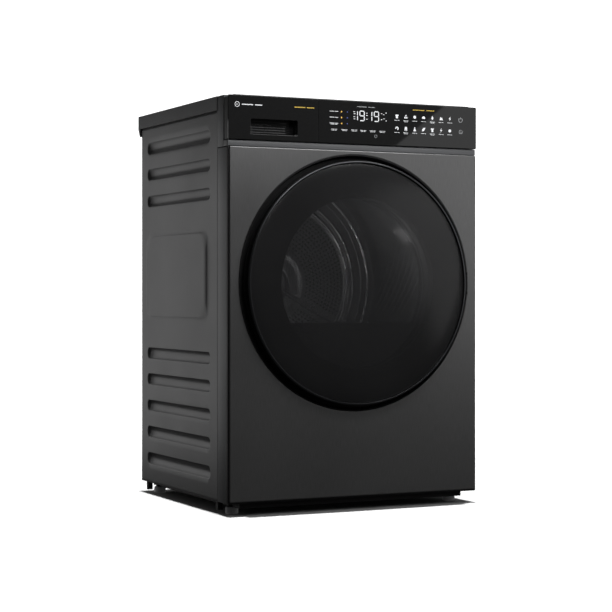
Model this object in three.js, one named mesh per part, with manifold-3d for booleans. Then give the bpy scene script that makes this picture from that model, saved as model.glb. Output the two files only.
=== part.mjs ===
// Front-loading heat-pump clothes dryer, built as its separate pieces.
// Units are millimetres. +X is right, +Z is up and the door faces -Y. The origin is on the
// floor under the middle of the machine. Inside the cabinet group the Y coordinate is the
// depth behind the front panel's face, so a piece's depths read as they do on the machine.

import * as THREE from 'three';
import { mergeVertices } from 'three/addons/utils/BufferGeometryUtils.js';
import Module from 'manifold-3d';

const wasm = await Module();
wasm.setup();

// ---------------------------------------------------------------- driving dimensions

const WIDTH = 592;
const HEIGHT = 870;
const HALF = WIDTH / 2;
const FRONT_Y = -262;            // the front panel's face, so that the depth is centred
const PANEL_BOTTOM = 26;         // the feet lift the sheet metal this far
const SHEET_REAR = 520;          // rear edge of the side sheets
const WORKTOP_REAR = 532;
const WORKTOP_BOTTOM = 840.5;
const POST_DEPTH = 61;           // front corner posts and fascia cheeks end here
const GAP = 0.4;                 // between pieces that rest on each other
const ROUND = 36;                // facets round a door-sized or drum-sized circle

const LEDGE_BOTTOM = 762.6;
const FASCIA_BOTTOM = 776.6;
const FASCIA_TOP = 868;
const FASCIA_SEAM_X = -91.4;     // between the water tank's front and the control glass

const DOOR_Z = 481.5;            // height of the door's and the drum's centre
const RECESS_R = 272;            // hole in the front panel
const DOOR_R = 259;
const DOOR_FRONT = -20;          // the trim ring's front
const GLASS_FRONT = -24;         // the glass's crown
const WINDOW_R = 181;            // see-through part of the door
const THROAT_R = 187.5;
const HINGE_X = 265.5;
const HINGE_DEPTH = -5;

const BULKHEAD = [42, 60];       // front and rear of the plate that carries the drum's mouth
const LOADING_R = 185;
const FILTER_TOP = 397;          // flat lower edge of the loading mouth
const DRUM_R = 279;
const DRUM = [63, 440];

const SHEET_X = 293;             // outer face of the side sheet
const SHEET_T = 1.2;
const GROOVE_DEPTH = 8;
const GROOVE_SPAN = [104, 478];
// lower and upper edge of each pressed groove
const GROOVES = [
  [68.6, 95.5], [130, 156], [190.5, 216], [250.5, 276.5],
  [309.5, 336], [657, 683], [718, 744.5], [777, 805],
];
const FIELD_OUTLINE = [98, 500, 384.5, 611];   // raised centre field: depths, then heights
const FIELD_CORNER_R = 55;
const FIELD_SLOPE = 23;

const BELT_DEPTH = [246, 258];
const MOTOR = { x: 196, z: 112, pulleyR: 8 };
const ROLLER = { r: 34, angle: 35, depths: [72, 94], clearance: 0.8 };
const IDLER = { x: 120, z: 164, r: 22 };
const COMPRESSOR = { x: -215, depth: 400, r: 52 };
const FOOT = { r: 13.5, x: 262, depths: [62, 480] };

// ---------------------------------------------------------------- materials

const finish = (color, roughness, metalness = 0) => () =>
  new THREE.MeshStandardMaterial({ color, roughness, metalness });
const sheetGrey = finish(0x55575a, 0.42, 0.45);
const frontGrey = finish(0x5b5d60, 0.38, 0.55);
const fasciaBlack = finish(0x141416, 0.12);
const blackPlastic = finish(0x101112, 0.5);
const greyPlastic = finish(0x4b4d50, 0.5);
const trimGrey = finish(0x3c3e42, 0.25, 0.6);
const smokedGlass = finish(0x1a1c20, 0.05);
const clearGlass = finish(0xa9b4b8, 0.05);
const steel = finish(0xb9bcbf, 0.28, 0.95);
const galvanised = finish(0x9a9d9f, 0.5, 0.8);
const rubber = finish(0x161616, 0.85);
const copper = finish(0xb8764a, 0.35, 0.95);
const aluminium = finish(0xa8abad, 0.4, 0.9);
const feltGrey = finish(0x6d6a66, 0.95);

// ---------------------------------------------------------------- solids

// A geometry as a manifold solid: one shared vertex per place, no empty triangles, faces out.
function solid(geometry) {
  const bare = new THREE.BufferGeometry();
  bare.setAttribute('position', geometry.getAttribute('position'));
  bare.setIndex(geometry.getIndex());
  const merged = mergeVertices(bare, 1e-4);
  const place = merged.getAttribute('position').array;
  const index = merged.getIndex().array;
  const triangles = [];
  let volume = 0;
  for (let i = 0; i < index.length; i += 3) {
    const [a, b, c] = [index[i], index[i + 1], index[i + 2]];
    if (a === b || b === c || c === a) continue;
    triangles.push(a, b, c);
    const corner = (k) => new THREE.Vector3(place[3 * k], place[3 * k + 1], place[3 * k + 2]);
    volume += corner(a).dot(corner(b).cross(corner(c)));
  }
  if (volume < 0) triangles.reverse();
  return new wasm.Manifold(new wasm.Mesh({
    numProp: 3,
    vertProperties: new Float32Array(place),
    triVerts: new Uint32Array(triangles),
  }));
}

// A finished solid as a named mesh.
function piece(name, body, material) {
  const mesh = body.getMesh();
  const geometry = new THREE.BufferGeometry();
  geometry.setAttribute('position', new THREE.BufferAttribute(mesh.vertProperties, 3));
  geometry.setIndex(new THREE.BufferAttribute(mesh.triVerts, 1));
  geometry.computeVertexNormals();
  const result = new THREE.Mesh(geometry, material());
  result.name = name;
  return result;
}

// Adds every further solid to the first.
const join = (first, ...others) => others.reduce((all, next) => all.add(next), first);
// Cuts every further solid from the first.
const cut = (first, ...others) => others.reduce((all, next) => all.subtract(next), first);

// A block from its limits in x, depth and z.
function block([x0, x1], [d0, d1], [z0, z1]) {
  const geometry = new THREE.BoxGeometry(x1 - x0, d1 - d0, z1 - z0);
  geometry.translate((x0 + x1) / 2, (d0 + d1) / 2, (z0 + z1) / 2);
  return solid(geometry);
}

// A shape drawn in x and z, extruded through a span of depth.
function frontal(shape, [d0, d1], curveSegments = 6) {
  const geometry = new THREE.ExtrudeGeometry(shape, { depth: d1 - d0, bevelEnabled: false, curveSegments });
  geometry.rotateX(Math.PI / 2).translate(0, d1, 0);
  return solid(geometry);
}

// A shape drawn in depth and z, extruded through a span of x.
function sideways(shape, [x0, x1], curveSegments = 4) {
  const geometry = new THREE.ExtrudeGeometry(shape, { depth: x1 - x0, bevelEnabled: false, curveSegments });
  geometry.rotateX(Math.PI / 2).rotateZ(Math.PI / 2).translate(x0, 0, 0);
  return solid(geometry);
}

// A rectangle with round corners, as a shape.
function roundedRect([u0, u1], [v0, v1], r) {
  const shape = new THREE.Shape();
  shape.moveTo(u0 + r, v0);
  shape.lineTo(u1 - r, v0);
  shape.absarc(u1 - r, v0 + r, r, -Math.PI / 2, 0);
  shape.lineTo(u1, v1 - r);
  shape.absarc(u1 - r, v1 - r, r, 0, Math.PI / 2);
  shape.lineTo(u0 + r, v1);
  shape.absarc(u0 + r, v1 - r, r, Math.PI / 2, Math.PI);
  shape.lineTo(u0, v0 + r);
  shape.absarc(u0 + r, v0 + r, r, Math.PI, 1.5 * Math.PI);
  return shape;
}

// A closed section of [radius, depth] points revolved about an axis that runs front to back.
function turned(section, { x = 0, z = 0, segments = ROUND } = {}) {
  const closed = section[0][0] > 0 ? [...section, section[0]] : section;
  const geometry = new THREE.LatheGeometry(closed.map(([r, d]) => new THREE.Vector2(r, d)), segments);
  return solid(geometry.translate(x, 0, z));
}

// A cylinder that runs front to back.
const rod = (r, depths, x, z, segments = 24) =>
  turned([[0, depths[0]], [r, depths[0]], [r, depths[1]], [0, depths[1]]], { x, z, segments });

// A tube that runs front to back.
const pipe = (inner, outer, [d0, d1], x, z, segments = 32) =>
  turned([[inner, d0], [outer, d0], [outer, d1], [inner, d1]], { x, z, segments });

// A cylinder that stands upright.
function post(r, [z0, z1], x, d, segments = 20) {
  const geometry = new THREE.CylinderGeometry(r, r, z1 - z0, segments);
  return solid(geometry.rotateX(Math.PI / 2).translate(x, d, (z0 + z1) / 2));
}

// The same solid mirrored to the other side of the machine.
function mirrored(body) {
  const mesh = body.getMesh();
  const geometry = new THREE.BufferGeometry();
  geometry.setAttribute('position', new THREE.BufferAttribute(mesh.vertProperties, 3));
  geometry.setIndex(new THREE.BufferAttribute(mesh.triVerts, 1));
  return solid(geometry.applyMatrix4(new THREE.Matrix4().makeScale(-1, 1, 1)));
}

// ---------------------------------------------------------------- cabinet

// A folded side sheet: pressed grooves, a raised centre field and a flange at the rear edge.
function sideSheet() {
  const inner = SHEET_X - SHEET_T;
  let sheet = block([inner, SHEET_X], [POST_DEPTH + GAP, SHEET_REAR], [PANEL_BOTTOM, WORKTOP_BOTTOM - GAP]);
  for (const [low, high] of GROOVES) {
    const r = 8;
    const trough = roundedRect(GROOVE_SPAN, [low, high], r);
    const hollow = roundedRect(
      [GROOVE_SPAN[0] + SHEET_T, GROOVE_SPAN[1] - SHEET_T], [low + SHEET_T, high - SHEET_T], r - SHEET_T);
    sheet = join(sheet, sideways(trough, [SHEET_X - GROOVE_DEPTH - SHEET_T, SHEET_X], 1));
    sheet = cut(sheet, sideways(hollow, [SHEET_X - GROOVE_DEPTH, SHEET_X + 1], 1));
  }
  const [d0, d1, z0, z1] = FIELD_OUTLINE;
  const rise = HALF - SHEET_X;
  const field = new THREE.ExtrudeGeometry(roundedRect([d0, d1], [z0, z1], FIELD_CORNER_R), {
    depth: 3, curveSegments: 2, bevelSegments: 1, bevelSize: FIELD_SLOPE, bevelThickness: rise + 0.6,
    bevelOffset: -FIELD_SLOPE,
  });
  field.rotateX(Math.PI / 2).rotateZ(Math.PI / 2).translate(SHEET_X - 3.6, 0, 0);
  const raised = solid(field);
  const outside = block([inner, HALF + 1], [0, WORKTOP_REAR], [0, HEIGHT]);
  sheet = join(sheet, raised.intersect(outside));
  sheet = cut(sheet, solid(field.clone().translate(-SHEET_T - 0.4, 0, 0)));
  const flange = block([SHEET_X - 14, inner + 0.5], [SHEET_REAR - SHEET_T, SHEET_REAR], [40, 836]);
  return join(sheet, flange);
}

function cabinetPieces() {
  const sheet = sideSheet();
  const cornerPost = block([281, 294.5], [14.8, POST_DEPTH], [PANEL_BOTTOM, LEDGE_BOTTOM - 0.6]);
  const postPocket = block([278, 291.5], [18, 58], [0, HEIGHT]);
  const column = cut(cornerPost, postPocket);
  const cheek = cut(
    block([281, 295], [27.4, POST_DEPTH], [LEDGE_BOTTOM + GAP, HEIGHT]),
    block([278, 292], [30, 58], [0, HEIGHT - 3]));

  // the base pan: a boss over each foot's stem, and four short lugs that fork arms and straps bear on
  const footPlaces = FOOT.depths.flatMap((d) => [-FOOT.x, FOOT.x].map((x) => [x, d]));
  const lugs = [[84, 95], [498, 508]].flatMap((depths) => [-1, 1].map((side) => {
    const x = (from, to) => (side > 0 ? [from, to] : [-to, -from]);
    return join(block(x(262, 284), depths, [20, 25]), block(x(273, 284), depths, [6, 25]));
  }));
  const trough = cut(block([-265, 265], [15, 512], [15, 66]), block([-262.5, 262.5], [17.5, 509.5], [17.5, 70]));
  const tub = cut(
    join(trough, ...lugs, ...footPlaces.map(([x, d]) => post(9.5, [15, 40], x, d, 24))),
    ...footPlaces.map(([x, d]) => post(5.5, [10, 36], x, d)));

  const panelHole = turned([[0, -5], [RECESS_R, -5], [RECESS_R, 5], [0, 5]], { z: DOOR_Z, segments: ROUND });
  // the black frame behind the front panel shows as a thin line round its sides and its lower edge
  const [panelHalf, panelLow] = [HALF - 3, PANEL_BOTTOM + 3.5];
  const plate = frontal(roundedRect([-panelHalf, panelHalf], [panelLow, LEDGE_BOTTOM], 3), [0, 3], 3);
  const frontPanel = cut(plate, panelHole);
  const frameHole = turned([[0, 0], [276, 0], [276, 20], [0, 20]], { z: DOOR_Z, segments: ROUND });
  const frontFrame = cut(
    block([-HALF, HALF], [3 + GAP, 14.4], [PANEL_BOTTOM, LEDGE_BOTTOM - 0.6]), frameHole);

  const recess = turned([
    [269.8, 0.6], [266.5, 16], [198, 18.5], [THROAT_R, 41.5], [190.5, 41.5], [201, 21.3],
    [269.5, 18.8], [275.2, 14], [275.2, 3.8], [271.6, 3.8], [271.6, 0.6],
  ], { z: DOOR_Z, segments: ROUND });
  const latchSlot = block([-262, -236], [10, 22], [DOOR_Z - 14, DOOR_Z + 14]);

  const seal = turned([[200, 12.6], [206, 12.6], [209, 17.4], [201, 17.6]], { z: DOOR_Z });

  return [
    piece('side_panel_right', sheet, sheetGrey),
    piece('side_panel_left', mirrored(sheet), sheetGrey),
    piece('front_post_right', column, greyPlastic),
    piece('front_post_left', mirrored(column), greyPlastic),
    piece('fascia_cheek_right', cheek, sheetGrey),
    piece('fascia_cheek_left', mirrored(cheek), sheetGrey),
    piece('base_pan', tub, blackPlastic),
    piece('front_panel', frontPanel, frontGrey),
    piece('front_frame', frontFrame, blackPlastic),
    piece('door_recess_ring', cut(recess, latchSlot), blackPlastic),
    piece('door_seal', seal, rubber),
  ];
}

// The worktop: a slab with a rounded lip at the rear and a thin tongue over the fascia.
function worktop() {
  const profile = new THREE.Shape();
  profile.moveTo(POST_DEPTH + GAP, HEIGHT);
  profile.lineTo(POST_DEPTH + GAP, WORKTOP_BOTTOM);
  profile.lineTo(SHEET_REAR + GAP, WORKTOP_BOTTOM);
  profile.lineTo(SHEET_REAR + GAP, WORKTOP_BOTTOM - 18);
  profile.lineTo(SHEET_REAR + 2.4, WORKTOP_BOTTOM - 18);
  profile.lineTo(WORKTOP_REAR, WORKTOP_BOTTOM);
  profile.lineTo(WORKTOP_REAR, HEIGHT - 4);
  profile.absarc(WORKTOP_REAR - 4, HEIGHT - 4, 4, 0, Math.PI / 2);
  const tongue = block([-280.5, 280.5], [8, POST_DEPTH + 2], [HEIGHT - 3.5, HEIGHT]);
  return join(sideways(profile, [-HALF, HALF], 3), tongue);
}

function fasciaPieces() {
  const top = FASCIA_TOP - 2;
  const glass = frontal(
    roundedRect([FASCIA_SEAM_X + 0.3, HALF], [FASCIA_BOTTOM, FASCIA_TOP], 3), [0, 4], 3);
  const carrier = cut(
    block([FASCIA_SEAM_X + 1, HALF - 1], [4.4, 27], [FASCIA_BOTTOM, top]),
    block([FASCIA_SEAM_X + 4, HALF - 4], [8, 30], [FASCIA_BOTTOM + 3, top - 3]));
  const ledge = block([-295.5, 295.5], [4, 27], [LEDGE_BOTTOM + GAP, FASCIA_BOTTOM - 1]);
  return [
    piece('worktop', worktop(), sheetGrey),
    piece('control_glass', glass, fasciaBlack),
    piece('control_panel_carrier', carrier, blackPlastic),
    piece('fascia_ledge', ledge, greyPlastic),
  ];
}

// ---------------------------------------------------------------- water tank

// The drawer's front has a finger pocket: a slot under the grip bar that opens to the front.
const TANK = { x: [-276, -96], z: [780, 836], depths: [30, 436] };
const GRIP = { x: [-246, -139], z: [789, 820] };

function tankPieces() {
  const face = frontal(
    roundedRect([-HALF, FASCIA_SEAM_X - 0.3], [FASCIA_BOTTOM, FASCIA_TOP], 3), [0, 4], 3);
  const carrier = block([-294, FASCIA_SEAM_X - 1], [3.9, 26.8], [FASCIA_BOTTOM, FASCIA_TOP - 2]);
  const pocket = block(GRIP.x, [-1, 22], GRIP.z);
  const hollow = block([-290, GRIP.x[0] - 3], [7, 30], [FASCIA_BOTTOM + 3, FASCIA_TOP - 5]);
  const hollow2 = block([GRIP.x[1] + 3, FASCIA_SEAM_X - 4], [7, 30], [FASCIA_BOTTOM + 3, FASCIA_TOP - 5]);
  const front = cut(join(face, carrier), pocket, hollow, hollow2);

  const [x0, x1] = TANK.x;
  const [d0, d1] = TANK.depths;
  const [z0, z1] = TANK.z;
  const tank = cut(
    block([x0, x1], [d0 - 2.9, d1], [z0, z1]),
    block([x0 + 2.5, x1 - 2.5], [d0, d1 - 2.5], [z0 + 2.5, z1 + 5]));
  const lid = join(
    block([x0, x1], [d0 - 2.9, d1 - 42], [z1 + GAP, z1 + 2.6]),
    block([x0 + 40, x0 + 60], [90, 110], [z1 + 1, z1 + 3.6]));

  const tray = cut(
    block([x0 - 3, x1 + 3], [64, d1 + 4], [z0 - 4, z0 + 12]),
    block([x0 - 0.8, x1 + 0.8], [60, d1 + 1], [z0 - 0.8, z0 + 20]));
  return {
    fixed: [piece('tank_tray', tray, blackPlastic)],
    moving: [
      piece('tank_front', front, fasciaBlack),
      piece('tank_body', tank, clearGlass),
      piece('tank_lid', lid, greyPlastic),
    ],
  };
}

// ---------------------------------------------------------------- loading mouth and lint filter

const FILTER = { halfWidth: 130, z: [302, 395], depths: [47, 55] };

function mouthPieces() {
  const [d0, d1] = BULKHEAD;
  const mouth = cut(
    turned([[0, 0], [LOADING_R, 0], [LOADING_R, 100], [0, 100]], { z: DOOR_Z, segments: ROUND }),
    block([-300, 300], [-5, 105], [0, FILTER_TOP]));
  const slot = block([-132, 132], [45.5, 56.5], [300, FILTER_TOP + 5]);
  const tankRoom = block([-300, -90], [0, 100], [TANK.z[0] - 6, HEIGHT]);
  const plate = frontal(roundedRect([-280, 280], [190, 772], 60), [d0, d1], 3);
  const bulkhead = cut(plate, mouth, slot, tankRoom);
  const felt = turned([[264, 60.4], [278, 60.4], [278, 62.6], [264, 62.6]], { z: DOOR_Z, segments: ROUND });
  const duct = cut(
    block([-110, 110], [BULKHEAD[0] + 1, BULKHEAD[1] + 2], [80, 188]),
    block([-106, 106], [BULKHEAD[0] + 5, BULKHEAD[1] - 2], [84, 200]));

  const filterFrame = block([-FILTER.halfWidth, FILTER.halfWidth], FILTER.depths, FILTER.z);
  const meshWindow = block([-118, -4], [40, 60], [312, 384]);
  const filter = cut(filterFrame, meshWindow, mirrored(meshWindow));
  const screen = block([-120, 120], [50.2, 51.2], [308, 388]);
  const grip = block([-30, 30], FILTER.depths, [FILTER.z[1] - 1, FILTER.z[1] + 5]);
  return {
    fixed: [
      piece('front_bulkhead', bulkhead, greyPlastic),
      piece('drum_front_felt', felt, feltGrey),
      piece('filter_duct', duct, blackPlastic),
    ],
    moving: [piece('lint_filter', join(filter, screen, grip), greyPlastic)],
  };
}

// ---------------------------------------------------------------- drum

const LIFTER_ANGLES = [90, 210, 330];

function drumPieces() {
  const t = 1.2;
  const [d0, d1] = DRUM;
  // a shallow swage runs round the shell at each end, and the front edge is rolled inwards
  const shell = turned([
    [262, d0], [DRUM_R - 3, d0], [DRUM_R, d0 + 4], [DRUM_R, d0 + 40], [DRUM_R - 4, d0 + 46], [DRUM_R - 4, d1],
    [DRUM_R - 4 - t, d1], [DRUM_R - 4 - t, d0 + 47], [DRUM_R - t, d0 + 41], [DRUM_R - t, d0 + 5],
    [DRUM_R - 4, d0 + t], [262, d0 + t],
  ], { z: DOOR_Z, segments: ROUND });
  const back = turned([
    [0, d1 + 6], [70, d1 + 6], [80, d1 - 4], [200, d1 - 4], [206, d1 + 0.4], [DRUM_R - 4, d1 + 0.4],
    [DRUM_R - 4, d1 + 1.8], [205.2, d1 + 1.8], [199.2, d1 - 2.6], [80.8, d1 - 2.6], [70.8, d1 + 7.4], [0, d1 + 7.4],
  ], { z: DOOR_Z, segments: ROUND });
  const lifters = LIFTER_ANGLES.map((angle, i) => {
    const shape = new THREE.Shape();
    shape.moveTo(-30, 0);
    shape.quadraticCurveTo(-14, 4, -9, 44);
    shape.absarc(0, 44, 9, Math.PI, 0, true);
    shape.quadraticCurveTo(14, 4, 30, 0);
    const geometry = new THREE.ExtrudeGeometry(shape, { depth: 300, bevelEnabled: false, curveSegments: 4 });
    const wallR = DRUM_R - 9.2;
    // the shape's height points at the axis
    geometry.rotateX(Math.PI / 2).translate(0, 420, -wallR);
    geometry.rotateY(-THREE.MathUtils.degToRad(angle + 90));
    return piece(`drum_lifter_${i + 1}`, solid(geometry.translate(0, 0, DOOR_Z)), greyPlastic);
  });
  const shaft = join(
    rod(11, [d1 + 8.2, 498], 0, DOOR_Z), rod(52, [d1 + 8.2, d1 + 11], 0, DOOR_Z, 32));
  return [
    piece('drum_shell', shell, steel),
    piece('drum_back', back, steel),
    ...lifters,
    piece('drum_shaft', shaft, steel),
  ];
}

// ---------------------------------------------------------------- drive

const pulleyDepths = [BELT_DEPTH[0] - 3, BELT_DEPTH[1] + 3];

// Both straight runs and both wraps of an open belt round the drum and the motor pulley.
function beltShape(drumR, motorR) {
  const dx = MOTOR.x;
  const dz = MOTOR.z - DOOR_Z;
  const distance = Math.hypot(dx, dz);
  const heading = Math.atan2(dz, dx);
  const lean = Math.acos((drumR - motorR) / distance);
  const shape = new THREE.Shape();
  shape.absarc(0, DOOR_Z, drumR, heading + lean, heading - lean + 2 * Math.PI, false);
  shape.absarc(MOTOR.x, MOTOR.z, motorR, heading - lean, heading + lean, false);
  shape.closePath();
  return shape;
}

function beltLoop() {
  const belt = 3;
  const drumR = DRUM_R - 4 + 2.6;
  const motorR = MOTOR.pulleyR + 0.6;
  const outer = frontal(beltShape(drumR + belt, motorR + belt), BELT_DEPTH, 11);
  const inner = frontal(beltShape(drumR, motorR), [BELT_DEPTH[0] - 1, BELT_DEPTH[1] + 1], 11);
  return cut(outer, inner);
}

function drivePieces() {
  const { x, z } = MOTOR;
  const motor = join(
    cut(rod(58, [120, 232], x, z, 28), rod(7, [110, 240], x, z, 20)),
    block([x - 50, x + 50], [130, 220], [66.6, 78]));
  const rotor = join(
    rod(6, [112, 350], x, z, 14),
    rod(MOTOR.pulleyR + 3, [pulleyDepths[0] - 2, pulleyDepths[0]], x, z, 14),
    rod(MOTOR.pulleyR, pulleyDepths, x, z, 14),
    rod(MOTOR.pulleyR + 3, [pulleyDepths[1], pulleyDepths[1] + 2], x, z, 14));

  const fanZ = [300, 348];
  let fan = join(
    pipe(6.6, 14, fanZ, x, z, 24), pipe(10, 66, [346, 348.5], x, z, 24), pipe(58, 66, [300, 303], x, z, 24));
  const blades = 7;
  for (let i = 0; i < blades; i += 1) {
    const blade = new THREE.BoxGeometry(14, 46, 2);
    blade.rotateY(0.5).translate(58, 324.5, 0).rotateY((i / blades) * 2 * Math.PI);
    fan = join(fan, solid(blade.translate(x, 0, z)));
  }
  const housing = cut(
    rod(76, [290, 360], x, z, 32), rod(72, [294, 356], x, z, 32), rod(40, [280, 295], x, z, 24),
    rod(9, [350, 365], x, z, 20));
  return {
    motor: piece('drive_motor', motor, aluminium),
    belt: piece('drum_belt', beltLoop(), rubber),
    housing: piece('fan_housing', housing, blackPlastic),
    rotor: [piece('motor_shaft_pulley', rotor, steel), piece('process_fan', fan, greyPlastic)],
  };
}

// A grooved roller on its own pin, with the drum's shell resting on it.
function rollerPieces() {
  const reach = DRUM_R + ROLLER.r + ROLLER.clearance;
  const tilt = THREE.MathUtils.degToRad(ROLLER.angle);
  return [['left', -1], ['right', 1]].map(([side, sign]) => {
    const x = sign * reach * Math.sin(tilt);
    const z = DOOR_Z - reach * Math.cos(tilt);
    const wheel = cut(rod(ROLLER.r, ROLLER.depths, x, z, 32), rod(5, [60, 100], x, z, 16));
    return piece(`drum_roller_${side}`, wheel, rubber);
  });
}

// The tensioner: an arm on a pin behind the motor's bracket, and its pulley on the belt's slack run.
function tensionerPieces() {
  const [d0, d1] = BELT_DEPTH;
  const arm = new THREE.Shape();
  arm.absarc(IDLER.x, IDLER.z, 9, 0, Math.PI, false);
  arm.lineTo(IDLER.x - 9, 100);
  arm.absarc(IDLER.x, 100, 9, Math.PI, 2 * Math.PI, false);
  const bar = join(frontal(arm, [d1 + 5, d1 + 9]), rod(4, [d0 - 2, d1 + 6], IDLER.x, IDLER.z, 16));
  const pulley = pipe(4.7, IDLER.r, [d0 - 2, d1 + 2], IDLER.x, IDLER.z, 28);
  return [
    piece('idler_arm', cut(bar, rod(3, [240, 280], IDLER.x, 100, 16)), galvanised),
    piece('idler_pulley', pulley, greyPlastic),
  ];
}

// ---------------------------------------------------------------- heat pump

function heatExchanger(depths, fins) {
  const x = [-268, -72];
  const z = [68, 186];
  let core = join(
    block([x[0], x[0] + 3], depths, z), block([x[1] - 3, x[1]], depths, z),
    block(x, [(depths[0] + depths[1]) / 2 - 8, (depths[0] + depths[1]) / 2 + 8], [z[0] + 20, z[0] + 32]),
    block(x, [(depths[0] + depths[1]) / 2 - 8, (depths[0] + depths[1]) / 2 + 8], [z[1] - 32, z[1] - 20]));
  for (let i = 1; i < fins; i += 1) {
    const at = x[0] + (i / fins) * (x[1] - x[0]);
    core = join(core, block([at - 1.5, at + 1.5], depths, z));
  }
  return core;
}

function heatPumpPieces() {
  const { x, depth, r } = COMPRESSOR;
  const shellProfile = [
    [0, 70], [r - 12, 70], [r, 82], [r, 180], [r - 14, 200], [0, 206],
  ].map(([radius, z]) => new THREE.Vector2(radius, z));
  const shell = new THREE.LatheGeometry(shellProfile, 32);
  shell.rotateX(Math.PI / 2);
  const compressor = solid(shell.translate(x, depth, 0));
  const bend = new THREE.CatmullRomCurve3([
    new THREE.Vector3(-140, 309, 150), new THREE.Vector3(-140, 330, 170), new THREE.Vector3(-150, 345, 192),
    new THREE.Vector3(-180, 352, 196), new THREE.Vector3(-205, 346, 186),
  ]);
  const ring = new THREE.Shape();
  ring.absarc(0, 0, 4, 0, 2 * Math.PI);
  const tube = new THREE.ExtrudeGeometry(ring, { extrudePath: bend, steps: 16, curveSegments: 4 });
  const pump = join(post(24, [66.6, 100], 40, 430), post(6, [98, 130], 40, 430), post(14, [120, 132], 40, 430));
  return [
    piece('compressor', compressor, blackPlastic),
    piece('evaporator', heatExchanger([90, 180], 10), aluminium),
    piece('condenser', heatExchanger([192, 306], 10), aluminium),
    piece('refrigerant_pipe', solid(tube), copper),
    piece('condensate_pump', pump, blackPlastic),
  ];
}

// ---------------------------------------------------------------- rear

function rearPieces() {
  const bearingBore = rod(12, [490, 530], 0, DOOR_Z, 24);
  const back = cut(
    block([-290, 290], [514.5, 515.5], [46, WORKTOP_BOTTOM - 20]),
    rod(30, [500, 530], 0, DOOR_Z, 32), block([236, 262], [500, 530], [70, 96]));
  const cover = turned([
    [0, 548], [196, 548], [216, 536], [222, 519.8], [226, 519.8], [226, 518.6], [220.5, 518.6], [214.8, 535],
    [195.4, 546.6], [0, 546.6],
  ], { z: DOOR_Z, segments: ROUND });
  const bearing = cut(
    join(rod(29, [494, 512], 0, DOOR_Z, 32), block([-120, 120], [500, 506], [DOOR_Z - 28, DOOR_Z + 28])),
    bearingBore);
  const gland = cut(block([238, 260], [510, 521], [72, 94]), block([243, 255], [516, 525], [77, 89]));
  return [
    piece('back_panel', back, galvanised),
    piece('rear_air_cover', cover, galvanised),
    piece('rear_bearing', bearing, galvanised),
    piece('cord_gland', gland, blackPlastic),
  ];
}

// ---------------------------------------------------------------- door and hinge

function doorPieces() {
  const at = { z: DOOR_Z, segments: ROUND };
  const ring = turned([
    [254.2, DOOR_FRONT], [257, DOOR_FRONT], [DOOR_R, DOOR_FRONT + 3], [DOOR_R, 9], [256.4, 9],
    [256.4, -12.6], [254.2, -12.6],
  ], at);
  const glass = turned([
    [0, GLASS_FRONT], [90, GLASS_FRONT + 0.5], [180, GLASS_FRONT + 2.2], [235, GLASS_FRONT + 4.6],
    [253.6, GLASS_FRONT + 7.4], [253.6, -13], [235, -15.6], [180, -17.8], [90, -19.6], [0, -20],
  ], at);
  const frame = turned([
    [WINDOW_R, -12.4], [256, -12.4], [256, 7.6], [253, 7.6], [253, -9], [WINDOW_R + 3, -9], [WINDOW_R + 3, 7.6],
    [WINDOW_R, 7.6],
  ], at);
  const inner = turned([[WINDOW_R, 8], [256, 8], [256, 9], [250, 11.4], [WINDOW_R + 4, 11.4], [WINDOW_R, 10]], at);
  const bowl = turned([
    [0, 34], [138, 34], [147, 32], [151, 27], [163, -6], [163, -8], [180.4, -8], [180.4, -4.2], [167, -4.2],
    [155, 29], [149, 36], [139, 38], [0, 38],
  ], at);

  const knuckle = cut(
    join(post(4.5, [DOOR_Z - 16, DOOR_Z + 16], HINGE_X, HINGE_DEPTH),
      block([DOOR_R + 0.4, HINGE_X - 3.4], [HINGE_DEPTH - 3, HINGE_DEPTH + 3], [DOOR_Z - 16, DOOR_Z + 16])),
    post(3, [DOOR_Z - 20, DOOR_Z + 20], HINGE_X, HINGE_DEPTH));
  const hook = join(
    block([-250, -240], [9.6, 15], [DOOR_Z - 6, DOOR_Z + 6]).translate(0, 2.2, 0),
    block([-256, -246], [14, 17], [DOOR_Z - 6, DOOR_Z + 6]));
  return [
    piece('door_ring', ring, trimGrey),
    piece('door_glass', glass, smokedGlass),
    piece('door_frame', frame, blackPlastic),
    piece('door_inner_cover', inner, blackPlastic),
    piece('door_bowl', bowl, clearGlass),
    piece('hinge_leaf', knuckle, steel),
    piece('latch_hook', hook, steel),
  ];
}

// The fixed half of the hinge: two arms out of the recess, the pin between them and a foot.
function hingeBracket() {
  let bracket = block([236, 263.4], [13.2, 15.6], [DOOR_Z - 24, DOOR_Z + 24]);
  for (const [low, high] of [[-24, -17], [17, 24]]) {
    const eye = post(4.5, [DOOR_Z + low, DOOR_Z + high], HINGE_X, HINGE_DEPTH);
    const arm = block([260, 264.4], [HINGE_DEPTH, 15.6], [DOOR_Z + low, DOOR_Z + high]);
    bracket = join(bracket, arm, eye);
  }
  return join(bracket, post(2.3, [DOOR_Z - 20, DOOR_Z + 20], HINGE_X, HINGE_DEPTH));
}

// ---------------------------------------------------------------- feet

// A levelling foot: a squat round pad on a threaded stem, with flutes round the pad for the fingers.
function footPieces() {
  const places = [['front_left', -1, 0], ['front_right', 1, 0], ['rear_left', -1, 1], ['rear_right', 1, 1]];
  return places.map(([name, side, row]) => {
    const x = side * FOOT.x;
    const d = FOOT.depths[row];
    const flutes = [...Array(12).keys()].map((i) => {
      const angle = (i / 12) * 2 * Math.PI;
      return post(1.4, [2, 20], x + FOOT.r * Math.cos(angle), d + FOOT.r * Math.sin(angle), 8);
    });
    const pad = cut(post(FOOT.r, [0, 14.4], x, d, 36), ...flutes);
    const foot = join(pad, post(5, [13, 34], x, d, 16));
    return piece(`foot_${name}`, foot, greyPlastic);
  });
}

// ---------------------------------------------------------------- assembly

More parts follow.
